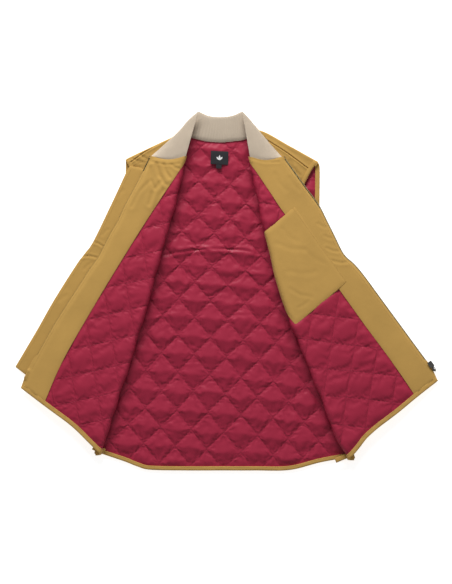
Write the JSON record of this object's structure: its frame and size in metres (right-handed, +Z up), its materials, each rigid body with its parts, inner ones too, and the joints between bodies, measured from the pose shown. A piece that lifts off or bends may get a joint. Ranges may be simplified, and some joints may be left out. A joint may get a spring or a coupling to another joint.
{
  "type": "quilted work vest",
  "caption": "Sleeveless zip-front canvas work vest with diamond-quilted satin lining and rib collar, laid flat on its back with both fronts folded outward.",
  "frame": {"origin": "underside of the back panel, on the table, under the middle of the vest", "axes": "+X towards the wearer's left (the viewer's right when looking down), +Y from the hem towards the collar, +Z up from the table"},
  "size_m": [0.911, 0.77, 0.0261],
  "materials": {
    "canvas_shell": "cotton duck canvas, matt",
    "canvas_facing": "cotton canvas, matt",
    "satin": "nylon satin, soft sheen",
    "wadding": "polyester wadding",
    "rib_knit": "rib knit, matt",
    "zip_tape": "woven tape",
    "zip_teeth": "antique",
    "zip_metal": "gunmetal, worn bright on edges",
    "label_weave": "woven damask label"
  },
  "bodies": {
    "back": {"back_shell": "canvas_shell", "back_wadding": "wadding", "back_lining": "satin", "back_hem_band": "canvas_facing", "right_armhole_facing": "canvas_facing", "left_armhole_facing": "canvas_facing", "neck_label": "label_weave", "size_tab": "label_weave", "collar_back": "rib_knit", "right_side_shell": "canvas_shell", "right_side_wadding": "wadding", "right_side_lining": "satin", "right_side_hem_band": "canvas_facing", "right_shoulder_wrap": "canvas_shell", "left_side_shell": "canvas_shell", "left_side_wadding": "wadding", "left_side_lining": "satin", "left_side_hem_band": "canvas_facing", "left_shoulder_wrap": "canvas_shell"},
    "right_front": {"right_front_shell": "canvas_shell", "right_front_wadding": "wadding", "right_front_lining": "satin", "right_facing": "canvas_facing", "right_front_hem_band": "canvas_facing", "right_zip_tape": "zip_tape", "right_zip_teeth": "zip_teeth", "right_zip_stop": "zip_metal", "storm_flap": "canvas_shell", "collar_right": "rib_knit", "zip_pin": "zip_metal"},
    "left_front": {"left_front_shell": "canvas_shell", "left_front_wadding": "wadding", "left_front_lining": "satin", "left_facing": "canvas_facing", "left_front_hem_band": "canvas_facing", "left_zip_tape": "zip_tape", "left_zip_teeth": "zip_teeth", "left_zip_stop": "zip_metal", "inner_pocket": "canvas_facing", "collar_left": "rib_knit", "zip_box": "zip_metal"},
    "slider": {"zip_slider": "zip_metal"},
    "pull": {"zip_pull": "zip_metal"}
  },
  "joints": [
    {"name": "right_front_fold", "type": "hinge", "parent": "back", "child": "right_front", "pos_m": [-0.0641, 0.3483, 0.01695], "axis": [0.2584, 0.966, 0], "range_deg": [0, 181]},
    {"name": "left_front_fold", "type": "hinge", "parent": "back", "child": "left_front", "pos_m": [0.0527, 0.3449, 0.01695], "axis": [0.2963, -0.9551, 0], "range_deg": [0, 183.5]},
    {"name": "slider_run", "type": "slide", "parent": "left_front", "child": "slider", "axis": [-0.5928, 0.8051, 0.0216], "range_m": [0, 0.225]},
    {"name": "pull_swing", "type": "hinge", "parent": "slider", "child": "pull", "pos_m": [0.45367, -0.13857, 0.00273], "axis": [0.8037, 0.5917, -0.0622], "range_deg": [0, 170]}
  ]
}
